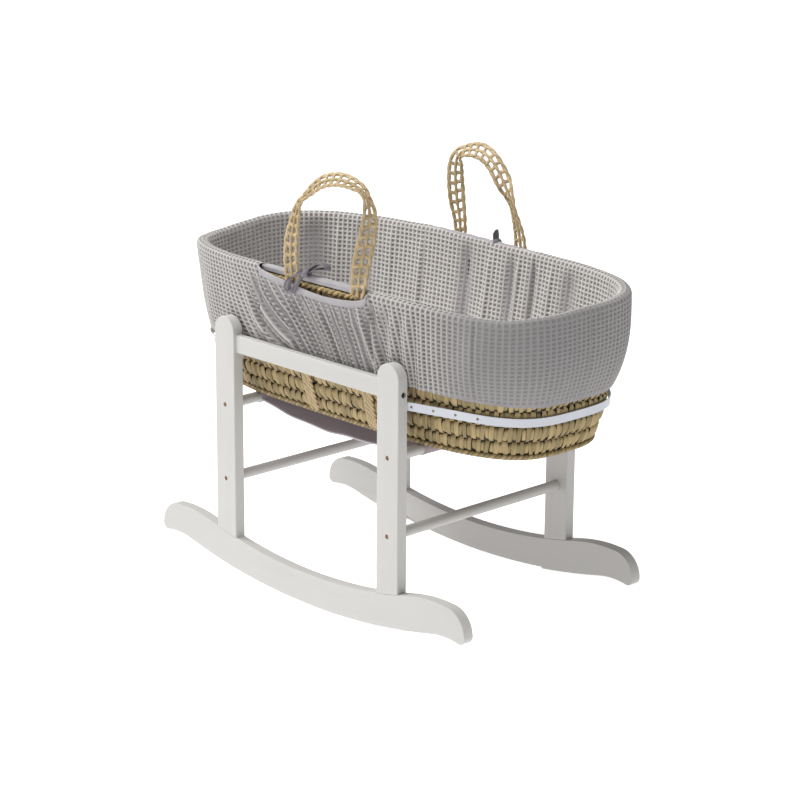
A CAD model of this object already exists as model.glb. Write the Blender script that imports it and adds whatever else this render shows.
import math
import random

import bmesh
import bpy
import numpy as np
from mathutils import Matrix, Vector


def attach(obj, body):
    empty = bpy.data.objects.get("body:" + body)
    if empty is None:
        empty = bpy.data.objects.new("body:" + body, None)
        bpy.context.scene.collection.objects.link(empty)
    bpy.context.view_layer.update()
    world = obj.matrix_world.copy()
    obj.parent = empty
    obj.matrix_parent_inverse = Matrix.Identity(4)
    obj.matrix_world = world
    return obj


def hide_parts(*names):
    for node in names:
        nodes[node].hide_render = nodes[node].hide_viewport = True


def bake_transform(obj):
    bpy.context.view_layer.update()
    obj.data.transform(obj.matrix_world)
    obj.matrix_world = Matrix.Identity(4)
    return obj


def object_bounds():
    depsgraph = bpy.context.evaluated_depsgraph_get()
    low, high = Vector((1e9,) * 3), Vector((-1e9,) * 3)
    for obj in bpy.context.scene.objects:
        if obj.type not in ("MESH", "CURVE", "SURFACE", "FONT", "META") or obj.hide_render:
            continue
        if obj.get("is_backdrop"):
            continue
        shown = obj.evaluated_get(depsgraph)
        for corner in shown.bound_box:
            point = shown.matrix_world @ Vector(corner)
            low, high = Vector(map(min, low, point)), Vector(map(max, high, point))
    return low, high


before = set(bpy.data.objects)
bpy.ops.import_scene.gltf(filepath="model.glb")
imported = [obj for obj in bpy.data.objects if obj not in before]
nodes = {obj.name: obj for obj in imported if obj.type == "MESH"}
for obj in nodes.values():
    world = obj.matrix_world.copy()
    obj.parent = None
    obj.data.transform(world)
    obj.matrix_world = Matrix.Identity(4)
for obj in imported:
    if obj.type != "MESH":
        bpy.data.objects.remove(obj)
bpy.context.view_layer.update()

# ---------------------------------------------------------------- floor, light and camera
# A plain white studio floor under two large soft lamps, the stronger one to the left of the camera.
# The camera stands off the near foot corner, a little above the basket.

scene = bpy.context.scene
scene.view_settings.view_transform = "Standard"

world = bpy.data.worlds.new("studio")
world.use_nodes = True
world.node_tree.nodes["Background"].inputs["Color"].default_value = (1.0, 1.0, 1.0, 1.0)
world.node_tree.nodes["Background"].inputs["Strength"].default_value = 0.40
scene.world = world

floor_mesh = bpy.data.meshes.new("floor")
floor_mesh.from_pydata([(-12, -12, 0), (12, -12, 0), (12, 12, 0), (-12, 12, 0)], [], [(0, 1, 2, 3)])
floor = bpy.data.objects.new("floor", floor_mesh)
scene.collection.objects.link(floor)
floor_finish = bpy.data.materials.new("floor")
floor_finish.use_nodes = True
floor_shader = floor_finish.node_tree.nodes["Principled BSDF"]
floor_shader.inputs["Base Color"].default_value = (0.80, 0.80, 0.80, 1.0)
floor_shader.inputs["Roughness"].default_value = 0.95
floor_shader.inputs["Specular IOR Level"].default_value = 0.0
floor_shader.inputs["Emission Color"].default_value = (1.0, 1.0, 1.0, 1.0)
floor_shader.inputs["Emission Strength"].default_value = 0.74
floor_mesh.materials.append(floor_finish)
floor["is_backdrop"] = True


def lamp(name, place, target, side, power):
    """A square area lamp that looks at a point."""
    data = bpy.data.lights.new(name, "AREA")
    data.shape = "SQUARE"
    data.size = side
    data.energy = power
    light = bpy.data.objects.new(name, data)
    light.location = place
    look = Vector(target) - Vector(place)
    light.rotation_euler = look.to_track_quat("-Z", "Y").to_euler()
    scene.collection.objects.link(light)
    light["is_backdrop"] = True


lamp("key_lamp", (-2.8, -1.7, 3.0), (0.0, 0.0, 0.45), 1.1, 88.0)
lamp("top_lamp", (-0.2, -0.9, 3.4), (0.0, 0.1, 0.3), 1.4, 68.0)

AZIMUTH, ELEVATION, ROLL = math.radians(46.741), math.radians(16.3088), math.radians(0.3883)
back = Vector((math.sin(AZIMUTH) * math.cos(ELEVATION), -math.cos(AZIMUTH) * math.cos(ELEVATION),
               math.sin(ELEVATION)))
level = (-back).cross(Vector((0, 0, 1))).normalized()
upright = level.cross(-back)
right = math.cos(ROLL) * level + math.sin(ROLL) * upright
upward = math.cos(ROLL) * upright - math.sin(ROLL) * level
camera_data = bpy.data.cameras.new("camera")
camera_data.lens = 108.85
camera_data.sensor_width = 36.0
camera = bpy.data.objects.new("camera", camera_data)
camera.matrix_world = Matrix.Translation((2.8794, -2.6984, 1.4693)) @ Matrix(
    (right, upward, back)).transposed().to_4x4()
scene.collection.objects.link(camera)
scene.camera = camera

# ---------------------------------------------------------------- painted boards and dowels
# Pine boards and turned rods, sprayed with white satin paint through which the grain shows faintly.
# The grain runs along each piece.


class Flow:
    """A value in a material, which adds Math nodes when it is used in sums and products."""

    def __init__(self, tree, socket):
        self.tree, self.socket = tree, socket

    def fill(self, socket, value):
        if isinstance(value, Flow):
            self.tree.links.new(value.socket, socket)
        else:
            socket.default_value = value

    def node(self, kind, settings, values, out=0):
        """Any other node: its type, its settings, then what goes into its sockets."""
        node = self.tree.nodes.new("ShaderNode" + kind)
        for name, value in settings.items():
            setattr(node, name, value)
        for key, value in values.items():
            self.fill(node.inputs[key], value)
        return Flow(self.tree, node.outputs[out])

    def math(self, operation, *others, flip=False):
        """An operation on this value and others, as a Vector Math node where one of them is a vector."""
        values = (*others, self) if flip else (self, *others)
        several = any(isinstance(v, Flow) and v.socket.type != "VALUE" for v in values)
        if several:
            values = [v if isinstance(v, (Flow, tuple)) else (v, v, v) for v in values]
        kind = "VectorMath" if several else "Math"
        return self.node(kind, {"operation": operation}, dict(enumerate(values)))

    def __add__(self, other):
        return self.math("ADD", other)

    def __sub__(self, other):
        return self.math("SUBTRACT", other)

    def __mul__(self, other):
        return self.math("MULTIPLY", other)

    def __truediv__(self, other):
        return self.math("DIVIDE", other)

    def __pow__(self, other):
        return self.math("POWER", other)

    def __rsub__(self, other):
        return self.math("SUBTRACT", other, flip=True)

    def __rtruediv__(self, other):
        return self.math("DIVIDE", other, flip=True)

    __radd__, __rmul__ = __add__, __mul__

    def axis(self, name):
        return self.node("SeparateXYZ", {}, {0: self}, "XYZ".index(name))

    def limit(self, low, high):
        """0 below low, 1 above high, and a straight climb between them."""
        return self.node("MapRange", {"clamp": True}, {0: self, 1: low, 2: high})

    def blend(self, first, second):
        """A colour from first to second as this value goes from 0 to 1."""
        return self.node("Mix", {"data_type": "RGBA"}, {0: self, 6: first, 7: second}, 2)

    def noise(self, scale, detail=2.0, stretch=(1, 1, 1)):
        """Soft random variation from 0 to 1 over these coordinates."""
        return self.node("TexNoise", {}, {"Vector": self * stretch, "Scale": scale, "Detail": detail})


class Finish:
    """A material being made: its Principled shader and the coordinates its patterns follow."""

    def __init__(self, name, **plain):
        self.material = bpy.data.materials.new(name)
        self.material.use_nodes = True
        self.tree = self.material.node_tree
        self.shader = self.tree.nodes["Principled BSDF"]
        for socket, value in plain.items():
            self.shader.inputs[socket.replace("_", " ")].default_value = value
        place = self.tree.nodes.new("ShaderNodeTexCoord")
        self.place = Flow(self.tree, place.outputs["Object"])

    def attribute(self, name):
        node = self.tree.nodes.new("ShaderNodeAttribute")
        node.attribute_name = name
        return Flow(self.tree, node.outputs["Vector"])

    def set(self, socket, flow):
        self.tree.links.new(flow.socket, self.shader.inputs[socket])

    def bump(self, height, distance, strength=1.0):
        relief = height.node("Bump", {}, {"Strength": strength, "Distance": distance, "Height": height})
        self.set("Normal", relief)

    def on(self, obj):
        obj.data.materials.clear()
        obj.data.materials.append(self.material)


def rgb(red, green, blue):
    return (red, green, blue, 1.0)


def painted_wood(name, along):
    """White satin paint over grain that runs along one axis."""
    stretch = tuple(0.045 if axis == along else 1.0 for axis in "XYZ")
    finish = Finish(name, Specular_IOR_Level=0.4)
    grain = finish.place.noise(420.0, 3.0, stretch)
    figure = finish.place.noise(60.0, 2.0, stretch)
    broad = finish.place.noise(9.0, 2.0)
    tone = (grain * 0.35 + figure * 0.4 + broad * 0.25).limit(0.3, 0.72)
    finish.set("Base Color", tone.blend(rgb(0.485, 0.475, 0.456), rgb(0.532, 0.524, 0.508)))
    finish.set("Roughness", 0.34 + 0.16 * figure)
    finish.bump(grain * 0.6 + figure * 0.4, 0.0005, 0.25)
    return finish


upright_wood = painted_wood("paint_on_upright_grain", "Z")
long_wood = painted_wood("paint_on_long_grain", "X")
cross_wood = painted_wood("paint_on_cross_grain", "Y")
for name in ("near_head_post", "near_foot_post", "far_head_post", "far_foot_post"):
    upright_wood.on(nodes[name])
for name in ("near_rocker", "far_rocker", "near_side_rail", "far_side_rail"):
    long_wood.on(nodes[name])
for name in ("head_upper_dowel", "head_lower_dowel", "foot_upper_dowel", "foot_lower_dowel"):
    cross_wood.on(nodes[name])

# ---------------------------------------------------------------- screws, bolts and pins
# Coppered wood screws deep in their counterbores, blackened rail bolts, zinc band screws and beech pins.
# All are turned or rolled metal, but for the pins.

copper = Finish("coppered_steel", Metallic=0.9, Specular_IOR_Level=0.5)
wear = copper.place.noise(900.0, 3.0)
copper.set("Base Color", wear.limit(0.35, 0.7).blend(rgb(0.20, 0.085, 0.04), rgb(0.62, 0.32, 0.17)))
copper.set("Roughness", 0.32 + 0.3 * wear)
copper.bump(wear, 0.0003, 0.3)
copper.on(nodes["dowel_screws"])

black = Finish("black_steel", Metallic=0.6)
soot = black.place.noise(800.0, 3.0)
black.set("Base Color", soot.blend(rgb(0.012, 0.010, 0.009), rgb(0.05, 0.045, 0.04)))
black.set("Roughness", 0.45 + 0.25 * soot)
black.bump(soot, 0.0003, 0.3)
black.on(nodes["rail_bolts"])

zinc = Finish("zinc_steel", Metallic=0.95)
brushed = zinc.place.noise(700.0, 2.0, (1, 0.1, 1))
zinc.set("Base Color", brushed.blend(rgb(0.42, 0.42, 0.42), rgb(0.66, 0.66, 0.64)))
zinc.set("Roughness", 0.25 + 0.25 * brushed)
zinc.bump(brushed, 0.0002, 0.3)
zinc.on(nodes["band_screws"])

beech = Finish("beech")
fleck = beech.place.noise(520.0, 3.0, (1, 1, 0.05))
beech.set("Base Color", fleck.blend(rgb(0.42, 0.26, 0.13), rgb(0.60, 0.42, 0.25)))
beech.set("Roughness", 0.5 + 0.2 * fleck)
beech.bump(fleck, 0.0004, 0.4)
beech.on(nodes["post_pins"])

# ---------------------------------------------------------------- restraining bands
# Punched strips of smooth white plastic, screwed to the posts and taut round both ends of the basket.
# The moulding has a fine leathery grain and a faint blue tint.

plastic = Finish("white_plastic", Specular_IOR_Level=0.45)
leathery = plastic.place.noise(1400.0, 2.0)
cloudy = plastic.place.noise(25.0, 2.0)
plastic.set("Base Color", cloudy.blend(rgb(0.57, 0.59, 0.64), rgb(0.64, 0.66, 0.71)))
plastic.set("Roughness", 0.36 + 0.14 * leathery)
plastic.bump(leathery, 0.0002, 0.4)
for name in ("head_band", "foot_band"):
    plastic.on(nodes[name])
    for face in nodes[name].data.polygons:
        face.use_smooth = False

# ---------------------------------------------------------------- sling
# A width of plain purple-grey cotton with a sewn sleeve at each end that turns round the upper dowel.
# Its side edges are turned into a narrow rolled hem.


def grid_piece(name, points, closed_rows=False, closed_columns=False, skip=None, smooth=True):
    """A mesh over a grid of points, rows by columns by three."""
    rows, columns = points.shape[:2]
    index = np.arange(rows * columns).reshape(rows, columns)
    low = index if closed_rows else index[:-1]
    high = np.roll(index, -1, 0) if closed_rows else index[1:]
    if closed_columns:
        quads = np.stack([low, np.roll(low, -1, 1), np.roll(high, -1, 1), high], -1)
    else:
        quads = np.stack([low[:, :-1], low[:, 1:], high[:, 1:], high[:, :-1]], -1)
    if skip is not None:
        quads = quads[~skip]
    return mesh_piece(name, points.reshape(-1, 3), quads.reshape(-1, 4), smooth)


def mesh_piece(name, points, faces, smooth=True):
    mesh = bpy.data.meshes.new(name)
    mesh.vertices.add(len(points))
    mesh.vertices.foreach_set("co", np.asarray(points, np.float32).ravel())
    mesh.loops.add(faces.size)
    mesh.loops.foreach_set("vertex_index", faces.astype(np.int32).ravel())
    mesh.polygons.add(len(faces))
    mesh.polygons.foreach_set("loop_start", np.arange(0, faces.size, faces.shape[1], dtype=np.int32))
    mesh.update(calc_edges=True)
    mesh.polygons.foreach_set("use_smooth", np.full(len(faces), smooth))
    obj = bpy.data.objects.new(name, mesh)
    scene.collection.objects.link(obj)
    return obj


def mark(obj, name, values):
    """Coordinates for a material's pattern, one triple for each point."""
    layer = obj.data.attributes.new(name, "FLOAT_VECTOR", "POINT")
    layer.data.foreach_set("vector", np.asarray(values, np.float32).reshape(-1, 3).ravel())
    return obj


STITCH_WIDTH, STITCH_PITCH = 0.0011, 0.0040


def plain_cloth(name, dark, light, pitch=0.0011, stitch=None, through=0.0):
    """Plain weave, with a row of stitches at a place across it; through is light that shows from behind."""
    finish = Finish(name, Roughness=0.9, Specular_IOR_Level=0.12, Sheen_Weight=0.12)
    finish.shader.inputs["Emission Color"].default_value = dark
    finish.shader.inputs["Emission Strength"].default_value = through
    at = finish.attribute("cloth")
    across, along = at.axis("X"), at.axis("Y")
    turns = 2 * math.pi / pitch
    warp = (across * turns).math("SINE") * 0.5 + 0.5
    weft = (along * turns).math("SINE") * 0.5 + 0.5
    slub = at.noise(160.0, 3.0, (1, 0.12, 1))
    blotch = at.noise(18.0, 3.0)
    thread = warp * 0.3 + weft * 0.3 + slub * 0.4
    tone = (thread * 0.55 + blotch * 0.45).limit(0.25, 0.75)
    finish.set("Base Color", tone.blend(dark, light))
    height = thread
    if stitch is not None:
        line = 1 - (across - stitch).math("ABSOLUTE").limit(0.0, STITCH_WIDTH)
        beat = (along * 2 * math.pi / STITCH_PITCH).math("SINE").limit(-0.6, 0.2)
        height = thread - line * 2.0 + line * beat * 1.5
    finish.bump(height, 0.0005, 0.7)
    return finish


def distance_along(line):
    """How far each point of a line is from its start, along the line."""
    return np.concatenate([[0], np.cumsum(np.linalg.norm(np.diff(line, axis=0), axis=1))])


SLING_HALF = 0.133
DOWEL_X, DOWEL_Z = 0.203, 0.303
SLEEVE = 0.0102

# the line of the cloth: round the head dowel, down across the sag, round the foot dowel
def sleeve_turn(leaves_at):
    around = np.radians(np.linspace(385, leaves_at, 30))
    return np.stack([-DOWEL_X + SLEEVE * np.sin(around), DOWEL_Z - SLEEVE * np.cos(around)], 1)


head_turn = sleeve_turn(74)
middle_x = np.linspace(-DOWEL_X + 0.0098, DOWEL_X - 0.0090, 60)
head_rise, foot_rise = 0.0166 * (middle_x / 0.1932) ** 2, 0.0134 * (middle_x / 0.194) ** 2
middle_z = 0.2836 + np.where(middle_x < 0, head_rise, foot_rise)
foot_turn = sleeve_turn(55)[::-1] * (-1, 1)
line = np.concatenate([head_turn, np.stack([middle_x, middle_z], 1), foot_turn])
run = distance_along(line)
across = np.linspace(-SLING_HALF, SLING_HALF, 90)
ripple = 0.0016 * np.sin(across[None, :] * 95 + 3 * np.sin(line[:, 0:1] * 22))
ripple = ripple * np.clip(1 - (np.abs(line[:, 0:1]) / DOWEL_X) ** 4, 0, 1)
edge = np.clip((np.abs(across[None, :]) - (SLING_HALF - 0.014)) / 0.004, 0, 1)
edge = edge * np.clip(1 - (np.abs(line[:, 0:1]) / DOWEL_X) ** 8, 0, 1)
points = np.empty((len(line), len(across), 3))
points[..., 0] = line[:, 0:1]
points[..., 1] = across[None, :]
points[..., 2] = line[:, 1:2] + ripple - 0.0011 * edge
sling = grid_piece("sling_cloth", points)
mark(sling, "cloth", np.stack(np.broadcast_arrays(across[None, :], run[:, None], 0.0), -1))
sling_cotton = plain_cloth("sling_cotton", rgb(0.17, 0.140, 0.153), rgb(0.29, 0.247, 0.265), 0.0013,
                           through=0.56)
sling_cotton.on(sling)
hem_cotton = plain_cloth("hem_cotton", rgb(0.26, 0.235, 0.26), rgb(0.48, 0.45, 0.48), 0.0013, through=0.5)
for side in (-1, 1):
    rim = points[30:-30, 0 if side < 0 else -1]
    ring = np.linspace(0, 2 * math.pi, 7)[:-1]
    tube = rim[:, None, :] + 0.0016 * np.stack([0 * ring, np.cos(ring), np.sin(ring)], -1)[None]
    hem = grid_piece("sling_hem_%s" % ("near" if side < 0 else "far"), tube, closed_columns=True)
    mark(hem, "cloth", tube[..., [1, 0, 2]])
    hem_cotton.on(hem)
    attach(hem, "stand")
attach(sling, "stand")
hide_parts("sling")

# ---------------------------------------------------------------- woven basket
# Rows of palm leaf stitched over a coil. Each stitch is a broad strip beside a narrower, sunken one,
# and a slot stays open between rows at every stitch. The edges are finished with a twisted rope.

SHIFT = 0.015
BASE_HALF_LENGTH, BASE_HALF_WIDTH = 0.380, 0.146
BASKET_LOW, BASKET_HEIGHT = 0.3142, 0.248
RIM_TOP = BASKET_LOW + BASKET_HEIGHT


def half_axes(z):
    """Half length and half width of the weave at a height; the wall bulges low and then flares."""
    share = (z - BASKET_LOW) / BASKET_HEIGHT
    spread = 0.5 * (1 - (1 - share) ** 3) + 0.5 * share
    return BASE_HALF_LENGTH + spread * 0.040, BASE_HALF_WIDTH + spread * 0.049


def plan(turn, half_length, half_width):
    c, s = np.cos(turn), np.sin(turn)
    reach = (np.abs(c) ** 3.3 + np.abs(s) ** 3.3) ** (-1 / 3.3)
    half_length = half_length - np.where(c < 0, 0.28 * (half_length - BASE_HALF_LENGTH), 0)
    return SHIFT + half_length * reach * c, half_width * reach * s


fine_turns = np.linspace(0, 2 * math.pi, 6001)
fine_x, fine_y = plan(fine_turns, *half_axes(RIM_TOP))
fine_way = np.concatenate([[0], np.cumsum(np.hypot(np.diff(fine_x), np.diff(fine_y)))])
ROUND = fine_way[-1]


def turn_at(way):
    """The turn at a distance round the rim, from the middle of the foot end towards the far side."""
    return np.interp(np.mod(way, ROUND), fine_way, fine_turns)


# how far the soft rim has sunk or risen, in millimetres, at turns in degrees
RIM_TURNS = (0, 30, 44, 63, 76, 104, 120, 157, 170, 180, 195,
             207, 225, 251, 272, 288, 300, 313, 321, 332, 347, 360)
RIM_LIFTS = (-6, -2, 1, 2, 3, 7, 5, 3, 2, -2, -8,
             -9, -5, -3, -3, -3, -6, -13, -15, -10, -8, -6)


def wall(way, z, out):
    """Points on the basket's wall, moved outwards by out, and the outward directions there."""
    way, z, out = np.broadcast_arrays(way, z, out)
    lift = np.interp(np.degrees(turn_at(way)), RIM_TURNS, RIM_LIFTS) / 1000
    z = z + lift * np.clip((z - 0.43) / 0.12, 0, 1)
    turn = turn_at(way)
    half_length, half_width = half_axes(z)
    x, y = plan(turn, half_length, half_width)
    ahead_x, ahead_y = plan(turn + 1e-3, half_length, half_width)
    behind_x, behind_y = plan(turn - 1e-3, half_length, half_width)
    tx, ty = ahead_x - behind_x, ahead_y - behind_y
    size = np.hypot(tx, ty)
    nx, ny = ty / size, -tx / size
    return np.stack([x + out * nx, y + out * ny, z], -1), np.stack([nx, ny, 0 * nx], -1)


def way_at(x, side):
    """The distance round the rim to a place along the near (-1) or far (1) side."""
    half = (fine_turns > math.pi) if side < 0 else (fine_turns < math.pi)
    xs, ways = fine_x[half], fine_way[half]
    order = np.argsort(xs)
    return float(np.interp(x, xs[order], ways[order]))


BAND_Z, BAND_REACH = 0.388, 0.019
rng = np.random.default_rng(7)


def leaves(ways, low, high, width, out, lean, surface):
    """Curved strips of leaf: one for each distance in ways, from one height to another."""
    a = np.linspace(-1, 1, 7)[None, None, :]
    b = np.linspace(0, 1, 9)[None, :, None]
    count = len(ways)
    start = np.reshape(ways, (count, 1, 1))
    skew = lean + rng.normal(0, 0.0011, (count, 1, 1))
    breadth = width * (1 + rng.normal(0, 0.09, (count, 1, 1)))
    taper = 1 - 0.16 * np.abs(2 * b - 1) ** 6 + 0.10 * rng.normal(0, 1, (count, 1, 1)) * (b - 0.5)
    way = start + a * breadth * taper / 2 + skew * (b - 0.5) * 2
    z = low + (high - low) * b + rng.normal(0, 0.0006, (count, 1, 1))
    crease = 0.00035 * np.sin(a * (5 + 3 * rng.random((count, 1, 1))) + rng.random((count, 1, 1)) * 6)
    bulge = out + 0.0016 * np.sin(math.pi * b) ** 0.7 * (0.7 + 0.6 * rng.random((count, 1, 1)))
    depth = bulge - 0.0017 * np.abs(a) ** 3 - 0.0024 * np.abs(2 * b - 1) ** 6 + crease
    # the taut bands press the leaves flat
    depth = np.where(np.abs(z - BAND_Z) < BAND_REACH, np.minimum(depth, 0.0002), depth)
    points = surface(way, z, depth)
    tint = np.broadcast_to(rng.random((count, 1, 1)), way.shape)
    grain = np.stack([tint * 7 + a * width / 2 + 0 * b, (high - low) * b + 0 * way, tint], -1)
    index = np.arange(count * 63).reshape(count, 9, 7)
    quads = np.stack([index[:, :-1, :-1], index[:, :-1, 1:], index[:, 1:, 1:], index[:, 1:, :-1]], -1)
    return points.reshape(-1, 3), quads.reshape(-1, 4), grain.reshape(-1, 3)


def joined(name, parts):
    """One mesh from several lots of points, faces and pattern coordinates."""
    points, faces, grain, first = [], [], [], 0
    for some_points, some_faces, some_grain in parts:
        points.append(some_points)
        faces.append(some_faces + first)
        grain.append(some_grain)
        first += len(some_points)
    obj = mesh_piece(name, np.concatenate(points), np.concatenate(faces))
    return mark(obj, "leaf", np.concatenate(grain))


def palm(name, straw, olive, brown, gloss=0.42):
    """Dried palm leaf: fine ribs along the leaf, each strip its own shade, darker at the ends."""
    finish = Finish(name, Specular_IOR_Level=0.35)
    at = finish.attribute("leaf")
    shade = at.axis("Z")
    ribs = at.noise(900.0, 2.0, (1, 0.03, 1))
    streaks = at.noise(210.0, 3.0, (1, 0.10, 1))
    stain = finish.place.noise(38.0, 3.0)
    body = (shade * 0.65 + stain * 0.5 - 0.1).limit(0.25, 0.85).blend(straw, olive)
    tone = (streaks * 0.7 + ribs * 0.3).limit(0.42, 0.70)
    finish.set("Base Color", tone.blend(body, (stain * 0.6 + 0.2).blend(body, brown)))
    finish.set("Roughness", gloss + 0.25 * streaks)
    finish.bump(ribs * 0.6 + streaks * 0.4, 0.0009, 0.8)
    return finish


STRAW, OLIVE, BROWN = rgb(0.445, 0.335, 0.163), rgb(0.245, 0.197, 0.089), rgb(0.16, 0.095, 0.043)


def on_wall(way, z, out):
    return wall(way, z, out)[0]


row_edges = [0.3225, 0.3460, 0.3725, 0.3990, 0.4255, 0.4520, 0.4785, 0.5050, 0.5280, 0.5480]
stitches = 128
pitch = ROUND / stitches
parts = []
for row, (low, high) in enumerate(zip(row_edges, row_edges[1:])):
    ways = (np.arange(stitches) + 0.5 * (row % 2) + rng.normal(0, 0.05, stitches)) * pitch
    parts.append(leaves(ways + 0.24 * pitch, low - 0.0002, high + 0.0002, 0.57 * pitch, 0.0, 0.0012,
                        on_wall))
    parts.append(leaves(ways - 0.26 * pitch, low + 0.0029, high - 0.0029, 0.50 * pitch, -0.0009, 0.0007,
                        on_wall))
weave = joined("woven_wall", parts)
palm("palm_leaf", STRAW, OLIVE, BROWN).on(weave)

ways = np.linspace(0, ROUND, 401)[:-1]
levels = np.linspace(BASKET_LOW + 0.004, 0.5490, 40)
core = on_wall(ways[None, :], levels[:, None], -0.0052 + 0 * ways[None, :])
coil = grid_piece("basket_coil", core, closed_columns=True)
mark(coil, "leaf", np.stack(np.broadcast_arrays(levels[:, None], ways[None, :], 0.7), -1))
palm("shaded_palm", rgb(0.075, 0.066, 0.055), rgb(0.040, 0.032, 0.020), rgb(0.10, 0.10, 0.105)).on(coil)


def tube_faces(count, sides):
    """The faces between the rings of a tube."""
    index = np.arange(count * sides).reshape(count, sides)
    beside = np.roll(index, -1, 1)
    return np.stack([index[:-1], beside[:-1], beside[1:], index[1:]], -1).reshape(-1, 4)


def headings(line):
    """The unit direction of travel at each point of a line."""
    ahead = np.gradient(line, axis=0)
    return ahead / np.linalg.norm(ahead, axis=1, keepdims=True)


def rope(way, z, out, radius, thread, pitch):
    """Two strands twisted round each other along the wall."""
    parts = []
    ring = np.linspace(0, 2 * math.pi, 9)[:-1]
    for start in (0.0, math.pi):
        twist = 2 * math.pi * way / pitch + start
        centre, outward = wall(way, z + radius * np.sin(twist), out + radius * np.cos(twist))
        side = np.cross(headings(centre), outward)
        swell = thread * (1 + 0.10 * np.sin(way * 900 + start))
        tube = centre[:, None] + swell[:, None, None] * (np.cos(ring)[None, :, None] * outward[:, None]
                                                        + np.sin(ring)[None, :, None] * side[:, None])
        grain = np.stack(np.broadcast_arrays(ring[None, :] * thread + start, way[:, None],
                                             0.5 + 0.5 * np.sin(way[:, None] * 60 + start)), -1)
        parts.append((tube.reshape(-1, 3), tube_faces(len(way), 8), grain.reshape(-1, 3)))
    return parts


long_way = np.arange(0, ROUND + 0.004, 0.0018)
edge_rope = joined("edge_rope", rope(long_way, 0.3188, -0.0022, 0.0021, 0.0030, 0.021))
palm("rope_palm", STRAW, OLIVE, BROWN).on(edge_rope)
rim_rope = joined("rim_rope", rope(long_way, 0.5470, -0.0022, 0.0026, 0.0036, 0.026))
palm("rim_palm", rgb(0.52, 0.37, 0.17), OLIVE, BROWN).on(rim_rope)


def under_base(way, ring_share, drop):
    """Points on the underside: ring_share is 1 at the edge and 0 at the middle."""
    turn = turn_at(way)
    half_length, half_width = half_axes(BASKET_LOW)
    x, y = plan(turn, half_length * (1 - (1 - ring_share) * 0.40), half_width * ring_share)
    return np.stack([x, y, BASKET_LOW + 0.0024 - drop + 0 * x], -1)


parts = []
ring_edges = np.linspace(0.985, 0.06, 7)
for row, (outer, inner) in enumerate(zip(ring_edges, ring_edges[1:])):
    count = max(24, int(stitches * (0.35 + 0.65 * outer)))
    ways = (np.arange(count) + 0.5 * (row % 2)) * ROUND / count
    parts.append(leaves(ways, inner, outer + 0.012, 0.98 * ROUND / count, 0.0, 0.0016, under_base))
base_weave = joined("woven_base", parts)
palm("base_palm", STRAW, OLIVE, BROWN).on(base_weave)
base_board = palm("base_board", rgb(0.20, 0.15, 0.07), rgb(0.12, 0.09, 0.045), rgb(0.05, 0.035, 0.02))
base_board.on(nodes["basket_base"])


def places_of(mesh):
    """The points of a mesh as rows of three."""
    places = np.zeros(len(mesh.vertices) * 3, np.float32)
    mesh.vertices.foreach_get("co", places)
    return places.reshape(-1, 3)


mark(nodes["basket_base"], "leaf", places_of(nodes["basket_base"].data))

for piece in (weave, coil, edge_rope, rim_rope, base_weave):
    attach(piece, "basket")
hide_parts("basket_wall")
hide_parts("basket_rim")

# ---------------------------------------------------------------- carrying handles
# Open plaited straps of palm cord: two edge cords, a twisted cord down the middle and short cross links,
# which leave two rows of oval holes. Below the cover the plait closes up and is sewn down the wall.


def strand(centre, across, through, wide, thick, sides=8):
    """A tube with an oval section along a line of points."""
    ring = np.linspace(0, 2 * math.pi, sides + 1)[:-1]
    wide, thick = np.broadcast_to(wide, len(centre)), np.broadcast_to(thick, len(centre))
    tube = (centre[:, None] + (wide[:, None] * np.cos(ring))[..., None] * across[:, None]
            + (thick[:, None] * np.sin(ring))[..., None] * through[:, None])
    tint = rng.random()
    grain = np.stack(np.broadcast_arrays(ring[None, :] * 0.003 + tint * 5, distance_along(centre)[:, None],
                                         tint), -1)
    return tube.reshape(-1, 3), tube_faces(len(centre), sides), grain.reshape(-1, 3)


def plait(centre, across, half, link_pitch, link_size, cord, closed=False):
    """The cords and links of a strap along a line; across is the direction of its width."""
    ahead = headings(centre)
    across = across - (across * ahead).sum(1, keepdims=True) * ahead
    across /= np.linalg.norm(across, axis=1, keepdims=True)
    through = np.cross(ahead, across)
    gone = distance_along(centre)
    parts = []
    for lane in (-1, -0.5, 0, 0.5, 1) if closed else (-1, 0, 1):
        flat = 0.0036 if lane else 0.0029
        for start in (0.0, math.pi):
            twist = math.pi * gone / link_pitch + start + 2 * lane
            line = centre + (lane * (half - 1.05 * flat) + 0.30 * flat * np.sin(twist))[:, None] * across
            line = line + (0.30 * cord * np.cos(twist))[:, None] * through
            parts.append(strand(line, across, through, flat * 0.80, cord * 0.52))
    at = link_pitch * 0.5
    while at < gone[-1] - link_size and not closed:
        for side in (-1, 1):
            local = np.linspace(0.08, 1, 9)
            place = at + (local - 0.5) * 0.0022 + side * 0.0012 + rng.normal(0, 0.0004)
            mid, wide, deep = (np.stack([np.interp(place, gone, lines[:, k]) for k in range(3)], -1)
                               for lines in (centre, across, through))
            line = mid + (side * local * (half - 0.0034))[:, None] * wide
            line = line + (0.3 * cord * np.cos(math.pi * local))[:, None] * deep
            size = link_size * (0.40 + 0.16 * np.abs(2 * local - 1.05) ** 2)
            parts.append(strand(line, np.cross(headings(line), deep), deep, size, cord * 0.5))
        at += link_pitch
    return parts


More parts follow.
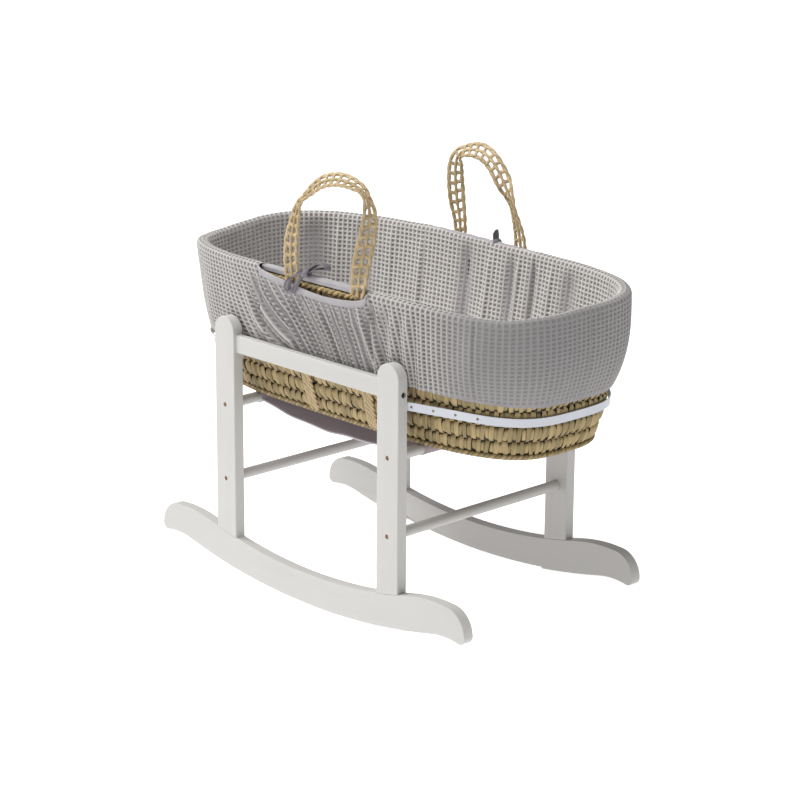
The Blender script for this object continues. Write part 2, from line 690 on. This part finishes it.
# centre of the strap and direction of its width at points along it, in millimetres
NEAR_STRAP = (
    (-35, -198, 550, 29, 8, 5), (-41, -197, 587, 30, 6, 5), (-40, -196, 617, 30, 3, 6),
    (-33, -194, 649, 29, -6, 8), (-27, -193, 672, 28, -9, 8), (-19, -192, 683, 25, -16, 8),
    (-14, -192, 690, 24, -19, 1), (-8, -191, 695, 24, -19, -3), (7, -191, 706, 22, -18, -13),
    (28, -190, 720, 20, -18, -15), (51, -190, 727, 17, -20, -16), (73, -189, 730, 18, -21, -15),
    (95, -189, 728, 17, -24, -11), (116, -190, 723, 16, -25, -7), (130, -190, 717, 19, -24, -1),
    (140, -191, 707, 10, -29, 6), (145, -192, 684, -1, -30, 6), (143, -193, 662, -11, -29, 3),
    (136, -195, 631, -20, -23, 0), (128, -197, 596, -27, -14, -3), (122, -198, 550, -30, -2, -6))
FAR_STRAP = (
    (-47, 198, 550, 31, -1, 4), (-48, 198, 574, 31, -1, 4), (-49, 196, 600, 31, 4, -2),
    (-54, 195, 621, 28, 14, -4), (-57, 194, 650, 23, 20, -6), (-57, 192, 676, 28, 13, 4),
    (-55, 191, 694, 30, 5, 6), (-49, 191, 707, 30, -6, 6), (-38, 190, 714, 26, -17, -1),
    (-24, 190, 719, 25, -15, -10), (-3, 190, 722, 23, -12, -17), (18, 190, 718, 12, -8, -27),
    (33, 191, 708, 5, -8, -30), (47, 191, 694, 3, -9, -29), (59, 192, 676, 4, -9, -30),
    (69, 193, 659, -8, 3, -30), (77, 194, 644, -16, 12, -23), (81, 195, 632, -22, 17, -13),
    (84, 195, 621, -23, 14, -15), (91, 196, 604, -28, 10, -8), (95, 197, 587, -31, 5, 0),
    (97, 198, 571, -31, 3, -4), (98, 198, 550, -31, 1, -4))


def smoothed(values, passes):
    values = values.copy()
    for _ in range(passes):
        values[1:-1] = 0.5 * values[1:-1] + 0.25 * (values[:-2] + values[2:])
    return values


def strap_line(table):
    """Evenly spaced centre points and width directions through a table of them."""
    rows = np.array(table, float) / 1000
    gone = distance_along(rows[:, :3])
    even = np.arange(0, gone[-1], 0.0015)
    line = np.stack([np.interp(even, gone, rows[:, k]) for k in range(6)], -1)
    line = smoothed(line, 60)
    return line[:, :3], line[:, 3:]


plait_palm = palm("plait_palm", rgb(0.56, 0.43, 0.25), rgb(0.41, 0.32, 0.17), rgb(0.25, 0.155, 0.075), 0.36)
for side_name, side, table in (("near", -1, NEAR_STRAP), ("far", 1, FAR_STRAP)):
    centre, across = strap_line(table)
    strap = joined(side_name + "_strap", plait(centre, across, 0.0155, 0.0166, 0.0084, 0.0034))
    plait_palm.on(strap)
    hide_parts(side_name + "_handle")
    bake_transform(strap)
    parts = []
    for x in (table[0][0] / 1000, table[-1][0] / 1000):
        z = np.arange(0.5600, 0.3230, -0.0015)
        way = way_at(x, side) + 0 * z
        line, outward = wall(way, z, np.clip(0.0030 - (z - 0.405) * 0.2, -0.0006, 0.0030))
        tangent = np.cross(outward, (0, 0, 1.0))
        parts += plait(line, tangent, 0.0115, 0.0100, 0.008, 0.0042, closed=True)
    roots = joined(side_name + "_strap_roots", parts)
    plait_palm.on(roots)
    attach(roots, "basket")
    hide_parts(side_name + "_handle_roots")

# ---------------------------------------------------------------- cover
# Grey waffle-weave cotton over the basket: lining, soft rolled top and skirt in one, with vertical seams,
# a slit along each side for the handles, gathers below the near slit and puckers in the far lining.

ROLL_RADIUS = 0.0084
ROLL_Z = 0.5568
ROLL_MIDDLE = -0.0023
QUARTER = ROLL_RADIUS * math.pi / 2
CELL_ACROSS, CELL_DOWN = 0.0100, 0.0074
LINING_DEPTH = 0.232
SLIT_MIDDLE, SLIT_HALF = 0.013, 0.134


def place_x(way):
    return plan(turn_at(way), *half_axes(RIM_TOP))[0]


def side_of(way):
    """-1 on the near side of the basket, 1 on the far side."""
    return np.where(turn_at(way) > math.pi, -1.0, 1.0)


def skirt_length(way):
    """From the top of the roll down to the hem, which drops towards both ends of the basket."""
    x = place_x(way) - SHIFT
    hem = 0.4245 - np.where(x < 0, 0.0330, 0.0185) * (x / 0.43) ** 2
    return QUARTER + ROLL_Z - hem


def slit_gap(way):
    """Half the opening of the slit, as a distance over the roll, outside and inside."""
    share = np.clip(1 - ((place_x(way) - SLIT_MIDDLE) / SLIT_HALF) ** 2, 0, 1)
    droop = np.interp(place_x(way), (-0.10, -0.04, 0.0, 0.05), (0.0195, 0.0225, 0.0275, 0.0310))
    return droop * share ** 0.25, 0.0040 * share ** 0.5


def soft_step(value, low, high):
    share = np.clip((value - low) / (high - low), 0, 1)
    return share * share * (3 - 2 * share)


def window(value, low, high, edge):
    return soft_step(value, low - edge, low) * (1 - soft_step(value, high, high + edge))


def wander(way, depth, scale, seed):
    """Smooth random waves round the basket and down the cloth, from about -1 to 1."""
    rand = random.Random(seed)
    total = 0
    for _ in range(7):
        turns = round(ROUND / scale * rand.uniform(0.5, 1.6))
        total = total + np.sin(2 * math.pi * turns * way / ROUND + rand.uniform(-1, 1) * depth / scale * 3
                               + rand.uniform(0, 6.3)) * rand.uniform(0.5, 1.0)
    return total / 2.6


def gather_lean(way):
    """How far the gathers below the near slit lean towards the foot end for each step down."""
    x = place_x(way)
    lean = np.interp(x, (-0.25, -0.13, -0.05, 0.02, 0.10, 0.17, 0.26),
                     (0.0, 0.55, 1.00, 0.85, 0.45, 0.32, 0.0))
    return np.where(side_of(way) < 0, lean, 0.0)


def gathered(way, down):
    """The place along the cloth that has been pulled over to this point, on the outside."""
    return way - gather_lean(way) * np.clip(down - 0.012, 0, 1) * 0.9


# far folds: place along the side, width, depth, and 1 for a ridge or -1 for a hollow
FAR_FOLDS = ((-0.123, 0.006, 0.0030, 1), (-0.016, 0.011, 0.0056, -1), (0.045, 0.008, 0.0042, 1),
             (0.093, 0.008, 0.0042, -1), (0.112, 0.005, 0.0034, 1), (0.146, 0.005, 0.0044, -1),
             (0.190, 0.010, 0.0036, 1), (0.236, 0.012, 0.0040, -1), (-0.200, 0.010, 0.0026, 1),
             (-0.260, 0.014, 0.0030, -1), (-0.312, 0.007, 0.0040, 1), (-0.355, 0.012, 0.0036, -1))
# seams: place along the side, and the side
SEAMS = ((-0.119, -1), (0.152, -1), (-0.119, 1), (0.147, 1),
         (-0.335, 1), (0.350, 1), (-0.335, -1), (0.350, -1))


def folds(way, down):
    """Height of the cloth's folds: gathers outside the near slit, soft waves elsewhere, seams pulled in."""
    x, side = place_x(way), side_of(way)
    pulled = gathered(way, down)
    depth = np.abs(down)
    phase = pulled + 0.004 * wander(pulled, 0, 0.05, 5)
    crest = (0.5 + 0.5 * np.cos(2 * math.pi * phase / 0.0165)) ** 1.6
    second = (0.5 + 0.5 * np.cos(2 * math.pi * phase / 0.0365 + 1.0)) ** 1.3
    near = np.where(side < 0, window(x, -0.135, 0.165, 0.04), 0)
    outside = soft_step(down - slit_gap(way)[0], 0.010, 0.045)
    height = near * outside * (0.0052 * crest + 0.0038 * second - 0.0024)
    near_end = np.where(side < 0, window(x, 0.165, 0.235, 0.04), 0) * outside
    height = height + near_end * 0.0026 * np.sin(2 * math.pi * way / 0.031 + 14 * down)
    calm = 1 - 0.7 * near
    height = height + calm * 0.0011 * wander(way, down, 0.11, 11) * soft_step(depth, 0.0, 0.05)
    height = height + calm * 0.0005 * wander(way, down, 0.035, 12) * soft_step(depth, 0.0, 0.04)
    inside = soft_step(-down, 0.008, 0.05)
    for middle, spread, size, sign in FAR_FOLDS:
        lane = np.exp(-((x - middle - 0.05 * down * sign) / spread) ** 2)
        height = height + np.where(side > 0, lane, 0) * inside * size * sign
    head = np.exp(-((x + 0.41) / 0.05) ** 2) * inside
    height = height + head * 0.0016 * wander(way, down, 0.05, 21)
    for middle, seam_side in SEAMS:
        dip = np.exp(-((x - middle) / 0.0022) ** 2) * np.where(side == seam_side, 1.0, 0.0)
        height = height - 0.0018 * dip * soft_step(depth, 0.004, 0.02)
    return height


def cover_line(way, down):
    """The smooth cover: down is the distance from the top of the roll, outside above 0 and inside below."""
    on_roll = np.clip(down / ROLL_RADIUS, -math.pi / 2, math.pi / 2)
    swell = 1 + 0.08 * wander(way, 0, 0.12, 31)
    out = ROLL_MIDDLE + ROLL_RADIUS * np.sin(on_roll)
    rise = ROLL_RADIUS * swell * np.cos(on_roll)
    below = np.clip(np.abs(down) - QUARTER, 0, 1)
    return ROLL_Z + rise - below, out, np.sin(on_roll), np.cos(on_roll)


# the boards that the cloth rests against: how far out it can go, and up to which height
POST_FACE, POST_TOP = 0.1866, 0.462
RAIL_FACE, RAIL_TOP, RAIL_END = 0.1878, 0.4300, 0.180
FREE = 0.10


def cover(way, down, lift=0.0):
    """Points on the cover with its folds, moved off its surface by lift."""
    way, down = np.broadcast_arrays(way, down)
    z, out, sideways, upwards = cover_line(way, down)
    height = folds(way, down) + lift
    droop = slit_gap(way)[0] * 0.10 * (1 - soft_step(down, 0.04, 0.10)) * soft_step(down, 0.0, 0.004)
    share = np.clip(down / skirt_length(way), 0, 1)
    x = place_x(way)
    belly = 0.0085 * soft_step(x, 0.25, 0.38) * np.sin(math.pi * share ** 1.2)
    tuck = -0.0030 * soft_step(np.abs(x - SHIFT), 0.26, 0.34) * share ** 8
    out = out + height * sideways + droop + belly + tuck
    z = z + height * upwards
    out = np.where(down > QUARTER, np.maximum(out, 0.0032), out)
    points = on_wall(way, z, out)
    at_post = np.abs(np.abs(points[..., 0]) - DOWEL_X) < 0.030
    at_rail = np.abs(points[..., 0]) < RAIL_END
    limit = POST_FACE + FREE * np.where(at_post, points[..., 2] > POST_TOP, 1.0)
    limit = np.where(at_rail, RAIL_FACE + FREE * (points[..., 2] > RAIL_TOP), limit)
    points[..., 1] = np.clip(points[..., 1], -limit, limit)
    return points


columns = int(round(ROUND / CELL_ACROSS)) * 6
ways = np.arange(columns) * ROUND / columns
outer_rows, inner_rows = 118, 150
share_out = np.linspace(0, 1, outer_rows)[:, None]
share_in = np.linspace(0, 1, inner_rows)[:, None]
gap_out, gap_in = slit_gap(ways)
outer_down = gap_out + (skirt_length(ways)[None] - gap_out) * share_out
inner_down = -gap_in - (LINING_DEPTH - gap_in) * share_in
down = np.concatenate([outer_down[::-1], inner_down], 0)
spread_ways = np.broadcast_to(ways[None], down.shape)

x = place_x(spread_ways)
side = side_of(spread_ways)
pulled = np.where(down > 0, gathered(spread_ways, down), spread_ways)
seam_shift = np.where((side < 0) & (x > -0.119) & (x < 0.152), 0.37, 0.0)
u = pulled / CELL_ACROSS + seam_shift
v = down / CELL_DOWN
rib_u = (0.5 + 0.5 * np.cos(2 * math.pi * u)) ** 1.6
rib_v = (0.5 + 0.5 * np.cos(2 * math.pi * v)) ** 1.8
relief = np.maximum(rib_u, 0.82 * rib_v)
crest = (0.5 + 0.5 * np.cos(2 * math.pi * (pulled + 0.004 * wander(pulled, 0, 0.05, 5)) / 0.0165)) ** 1.2
panel = window(x, -0.125, 0.155, 0.03) * (side < 0) * soft_step(down, 0.016, 0.04)
y = plan(turn_at(spread_ways), *half_axes(RIM_TOP))[1]
foot_end = soft_step(x, 0.26, 0.36) * (down > 0) * (1 - 0.4 * soft_step(y, -0.08, 0.12))
head_inside = (1 - soft_step(x, -0.405, -0.375)) * (down < -0.006)
flat = np.clip(panel * (1 - crest) * 1.0 + foot_end * 0.8 + head_inside * 0.75, 0, 1)
for middle, spread, size, sign in FAR_FOLDS:
    if sign < 0:
        lane = np.exp(-((x - middle) / (1.5 * spread)) ** 2) * (side > 0) * soft_step(-down, 0.008, 0.04)
        flat = np.maximum(flat, 1.0 * lane)
waffle = 0.0022 * relief * soft_step(np.abs(down), 0.0, 0.01) * (1 - 0.6 * flat)

smooth_points = cover(spread_ways, down)
along = np.roll(smooth_points, -1, 1) - np.roll(smooth_points, 1, 1)
across = np.gradient(smooth_points, axis=0)
normal = np.cross(along, across)
normal /= np.maximum(np.linalg.norm(normal, axis=-1, keepdims=True), 1e-9)
outwards = wall(spread_ways, 0.5 + 0 * down, 0.0)[1]
flip = np.sign((normal * outwards).sum(-1) * np.sign(down) + 1e-9)
facing = np.where(np.abs(down) < 0.006, np.sign(normal[..., 2]), flip)
normal = normal * facing[..., None]
points = smooth_points + normal * waffle[..., None]
open_here = (gap_out > 0) & (np.roll(gap_out, -1) > 0)
skip = np.zeros((len(down) - 1, columns), bool)
skip[outer_rows - 1] = open_here
liner = grid_piece("waffle_cover", points, closed_columns=True, skip=skip)
mark(liner, "cloth", np.stack([u, v, flat], -1))

waffle_finish = Finish("waffle_cotton", Specular_IOR_Level=0.1, Sheen_Weight=0.15, Roughness=0.92)
at = waffle_finish.attribute("cloth")
cell_u, cell_v = at.axis("X"), at.axis("Y")
TAU = 2 * math.pi
wave_u = ((cell_u * TAU).math("COSINE") * 0.5 + 0.5) ** 1.6
wave_v = ((cell_v * TAU).math("COSINE") * 0.5 + 0.5) ** 1.8
ridge = wave_u.math("MAXIMUM", wave_v * 0.82)
threads = (cell_u * 50.0).math("SINE") * (cell_v * 44.0).math("SINE")
fuzz = waffle_finish.place.noise(1500.0, 3.0)
patchy = waffle_finish.place.noise(14.0, 3.0)
flat_here = at.axis("Z")
tone = (ridge * 0.9 + fuzz * 0.16 + patchy * 0.12 - 0.10) * (1 - flat_here * 0.75) + flat_here * 0.30
open_tone = tone.limit(0.0, 0.92).blend(rgb(0.145, 0.138, 0.134), rgb(0.500, 0.480, 0.464))
shut_tone = tone.limit(0.0, 0.92).blend(rgb(0.20, 0.192, 0.195), rgb(0.33, 0.317, 0.320))
colour = flat_here.blend(open_tone, shut_tone)
lining = 1 - cell_v.limit(-1.6, -0.2)
waffle_finish.set("Base Color", colour * (1 + lining * 0.42))
waffle_finish.bump(ridge * 1.0 + threads * 0.12 + fuzz * 0.2, 0.0010, 0.7)
waffle_finish.on(liner)
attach(liner, "basket")
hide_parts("liner")

# ---------------------------------------------------------------- tapes of the cover
# Plain woven tape, paler than the waffle: one folded over the hem and one binding both lips of each slit.
# Each is sewn with a single row of stitches.

tape_cloth = plain_cloth("tape_cotton", rgb(0.29, 0.275, 0.29), rgb(0.46, 0.44, 0.455), stitch=0.0105)
hem_cloth = plain_cloth("hem_tape_cotton", rgb(0.24, 0.225, 0.235), rgb(0.36, 0.34, 0.35), stitch=0.0052)


def tape(name, ways, down_from, down_to, lift, closed):
    """A strip of tape that lies on the cover between two distances from the top of the roll."""
    share = np.linspace(0, 1, 12)[:, None]
    edge = 1 - np.abs(2 * share - 1) ** 6
    drop = down_from[None] + (down_to - down_from)[None] * share
    points = cover(np.broadcast_to(ways[None], drop.shape), drop, lift * (0.25 + 0.75 * edge))
    strip = grid_piece(name, points, closed_columns=closed)
    run = np.broadcast_to(ways[None], drop.shape)
    mark(strip, "cloth", np.stack([np.abs(drop - down_from[None]), run, 0 * run], -1))
    return strip


hem_ways = np.arange(1200) * ROUND / 1200
long = skirt_length(hem_ways)
hem = tape("hem_binding", hem_ways, long - 0.0062, long + 0.0006, 0.0013, True)
hem_cloth.on(hem)
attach(hem, "basket")
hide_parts("hem_tape")

for side_name, side in (("near", -1), ("far", 1)):
    ends = sorted(way_at(SLIT_MIDDLE + end * (SLIT_HALF - 0.0008), side) for end in (-1, 1))
    lip_ways = np.linspace(ends[0], ends[1], 260)
    lip_out = slit_gap(lip_ways)[0]
    outer = tape(side_name + "_outer_lip", lip_ways, lip_out - 0.0008, lip_out + 0.0115, 0.0022, False)
    over = np.array([(-0.0100, 0.5615), (-0.0092, 0.5645), (-0.0066, 0.5666), (-0.0038, 0.5660),
                     (-0.0020, 0.5638), (-0.0010, 0.5600), (-0.0010, 0.5545)])
    share = np.clip(1 - ((place_x(lip_ways) - SLIT_MIDDLE) / SLIT_HALF) ** 2, 0, 1) ** 0.12
    wave = 0.0003 * np.sin(lip_ways * 180)
    binding = on_wall(lip_ways[None, :], 0.5580 + (over[:, 1:] - 0.5580) * (0.4 + 0.6 * share) + wave,
                      over[:, :1] + wave)
    inner = grid_piece(side_name + "_inner_lip", binding)
    step = 0.0022 * np.arange(len(over))[:, None]
    mark(inner, "cloth", np.stack(np.broadcast_arrays(step, lip_ways[None, :], 0.0), -1))
    for strip in (outer, inner):
        tape_cloth.on(strip)
        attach(strip, "basket")
    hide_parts(side_name + "_slit_tape")

# ---------------------------------------------------------------- bows
# A short ribbon of the same plain tape, tied in a bow across each slit; its loops stand and flop unevenly.
# Each ribbon is folded flat and creased at the knot.

bow_cloth = plain_cloth("bow_cotton", rgb(0.125, 0.113, 0.127), rgb(0.25, 0.234, 0.256), 0.0011)


def ribbon(name, guide, widths, width):
    """A flat ribbon through guide points, its width lying along the given directions."""
    guide, widths = np.array(guide, float) / 1000, np.array(widths, float)
    gone = distance_along(guide)
    even = np.linspace(0, gone[-1], 60)
    line = smoothed(np.stack([np.interp(even, gone, guide[:, k]) for k in range(3)], -1), 12)
    wide = smoothed(np.stack([np.interp(even, gone, widths[:, k]) for k in range(3)], -1), 12)
    wide /= np.linalg.norm(wide, axis=1, keepdims=True)
    through = np.cross(headings(line), wide)
    share = np.linspace(-0.5, 0.5, 9)
    pinch = 1 - 0.45 * np.exp(-((np.minimum(even, gone[-1] - even)) / 0.006) ** 2)
    curl = 0.0012 * np.sin(share * 7 + 1)[None, :] * (1 + 0 * even[:, None])
    points = (line[:, None] + (width * pinch[:, None] * share[None, :])[..., None] * wide[:, None]
              + curl[..., None] * through[:, None])
    strip = grid_piece(name, points)
    mark(strip, "cloth", np.stack(np.broadcast_arrays(share[None, :] * width, even[:, None], 0.0), -1))
    bow_cloth.on(strip)
    return strip


# guide points in millimetres, the way the ribbon's width lies at each, and its width
BOWS = {
    "near": (
        ("loop_low", ((-2, -196, 567), (-14, -203, 566), (-26, -209, 560), (-34, -211, 546),
                      (-33, -211, 532), (-26, -210, 531), (-18, -210, 541), (-8, -204, 556), (-2, -198, 565)),
         ((0.4, 0.5, 0.8), (0.5, 0.5, 0.8), (0.7, 0.4, 0.6), (0.9, 0.3, 0.2), (0.9, 0.4, -0.2),
          (0.8, 0.5, -0.3), (0.7, 0.5, 0.3), (0.5, 0.5, 0.7), (0.4, 0.5, 0.8)), 14.0),
        ("loop_high", ((0, -196, 568), (8, -191, 577), (17, -187, 585), (28, -184, 586), (38, -182, 579),
                       (34, -184, 575), (22, -188, 576), (10, -193, 572), (2, -196, 567)),
         ((0.3, 0.9, 0.3), (0.3, 0.9, 0.2), (0.2, 1.0, 0.1), (0.1, 1.0, 0.0), (0.0, 1.0, -0.2),
          (0.1, 1.0, -0.1), (0.2, 0.9, 0.2), (0.3, 0.9, 0.3), (0.3, 0.9, 0.3)), 15.0),
        ("tail", ((-3, -197, 566), (-10, -205, 558), (-16, -209, 545), (-17, -210, 533)),
         ((0.5, 0.4, 0.7), (0.8, 0.4, 0.4), (1.0, 0.2, 0.1), (1.0, 0.1, 0.0)), 11.0)),
    "far": (
        ("loop_low", ((47, 192, 568), (38, 199, 572), (28, 204, 568), (22, 206, 558), (27, 206, 550),
                      (38, 202, 556), (47, 194, 566)),
         ((0.3, 0.9, 0.3),) * 7, 12.0),
        ("tail_up", ((46, 192, 566), (47, 190, 576), (49, 188, 585), (51, 187, 592)),
         ((1.0, 0.1, 0.0), (1.0, 0.15, 0.05), (1.0, 0.2, 0.1), (0.9, 0.3, 0.3)), 14.0),
        ("tail", ((46, 194, 566), (42, 203, 560), (38, 208, 548)),
         ((0.8, 0.4, 0.3), (0.9, 0.3, 0.2), (1.0, 0.1, 0.1)), 11.0)),
}
KNOTS = {"near": (-0.001, -0.1968, 0.5665), "far": (0.047, 0.1928, 0.5675)}
for side_name, ribbons in BOWS.items():
    made = [ribbon("%s_bow_%s" % (side_name, part), guide, widths, width / 1000)
            for part, guide, widths, width in ribbons]
    ring = np.linspace(0, 2 * math.pi, 25)[:-1]
    around = np.linspace(0, 2 * math.pi, 17)[:-1]
    pucker = 1 + 0.14 * np.sin(5 * ring[:, None] + 2 * around[None, :])
    radius = 0.0046 + 0.0030 * np.cos(around)[None, :] * pucker
    knot_x, knot_y, knot_z = KNOTS[side_name]
    knot_points = np.stack([knot_x + 0.0062 * np.sin(around)[None, :] * pucker,
                            knot_y + radius * np.cos(ring)[:, None],
                            knot_z + radius * np.sin(ring)[:, None]], -1)
    knot = grid_piece(side_name + "_bow_knot", knot_points, closed_rows=True, closed_columns=True)
    along_tape, across_tape = around[None, :] * 0.006, ring[:, None] * 0.006
    mark(knot, "cloth", np.stack(np.broadcast_arrays(along_tape, across_tape, 0.0), -1))
    bow_cloth.on(knot)
    for piece in made + [knot]:
        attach(piece, "basket")
    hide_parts(side_name + "_tie")

flat_height = float(np.mean(skirt_length(hem_ways))) + LINING_DEPTH

# ---------------------------------------------------------------- mattress
# A thin foam pad in quilted white cotton, with soft rounded edges. The cloth is puffed out a little by the
# pad, and a grid of stitched lines pulls its top in.

MATTRESS_LOW, MATTRESS_TOP = 0.3226, 0.3566
PUFF, QUILT_PITCH = 0.003, 0.05


def oval_pad(half_length, half_width, low, high, count=160):
    turns = np.linspace(0, 2 * math.pi, count + 1)[:-1]
    rings = []
    for share, z in ((0.02, low), (0.5, low), (0.90, low), (0.985, low + 0.004), (1.0, (low + high) / 2),
                     (0.985, high - 0.004), (0.90, high), (0.5, high), (0.02, high)):
        x, y = plan(turns, half_length * share, half_width * share)
        rings.append(np.stack([x, y, z + 0 * x], -1))
    return np.stack(rings)


pad = grid_piece("mattress_pad", oval_pad(0.366, 0.133, MATTRESS_LOW + 0.004, MATTRESS_TOP - 0.003),
                 closed_columns=True)
shape = bmesh.new()
shape.from_mesh(pad.data)
bmesh.ops.holes_fill(shape, edges=[e for e in shape.edges if e.is_boundary], sides=0)
bmesh.ops.recalc_face_normals(shape, faces=shape.faces)
shape.to_mesh(pad.data)
shape.free()
bpy.context.view_layer.objects.active = pad
pad.select_set(True)
remesh = pad.modifiers.new("remesh", "REMESH")
remesh.mode = "VOXEL"
remesh.voxel_size = 0.0055
bpy.ops.object.modifier_apply(modifier=remesh.name)
before = places_of(pad.data)
cloth = pad.modifiers.new("cloth", "CLOTH")
cloth.settings.use_pressure = True
cloth.settings.uniform_pressure_force = 4.0
cloth.settings.effector_weights.gravity = 0.0
cloth.settings.quality = 5
cloth.settings.tension_stiffness = 25.0
cloth.settings.bending_stiffness = 2.0
scene.frame_start, scene.frame_end = 1, 20
for step in range(scene.frame_start, scene.frame_end + 1):
    scene.frame_set(step)
shaped = pad.evaluated_get(bpy.context.evaluated_depsgraph_get())
move = places_of(shaped.data) - before
size = np.linalg.norm(move, axis=1, keepdims=True)
move *= np.minimum(1, PUFF / np.maximum(size, 1e-9))
pad.modifiers.remove(cloth)
before = before + move
scene.frame_set(1)
quilt = np.minimum(np.abs(np.mod((before[:, 0] + before[:, 1]) / QUILT_PITCH, 1) - 0.5),
                   np.abs(np.mod((before[:, 0] - before[:, 1]) / QUILT_PITCH, 1) - 0.5))
pull = np.exp(-(quilt / 0.05) ** 2) * (before[:, 2] > 0.5 * (MATTRESS_LOW + MATTRESS_TOP))
before[:, 2] -= 0.0022 * pull
before[:, 2] = np.clip(before[:, 2], MATTRESS_LOW + 0.0004, MATTRESS_TOP + 0.001)
pad.data.vertices.foreach_set("co", before.astype(np.float32).ravel())
pad.data.update()
finer = pad.modifiers.new("finer", "SUBSURF")
finer.levels = finer.render_levels = 1
bpy.ops.object.modifier_apply(modifier=finer.name)
pad.data.polygons.foreach_set("use_smooth", np.full(len(pad.data.polygons), True))
mark(pad, "cloth", places_of(pad.data))
cotton = plain_cloth("quilted_cotton", rgb(0.62, 0.60, 0.57), rgb(0.80, 0.79, 0.76), 0.0012)
cotton.on(pad)
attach(pad, "mattress")
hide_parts("mattress")

# ---------------------------------------------------------------- size and finish

low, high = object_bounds()
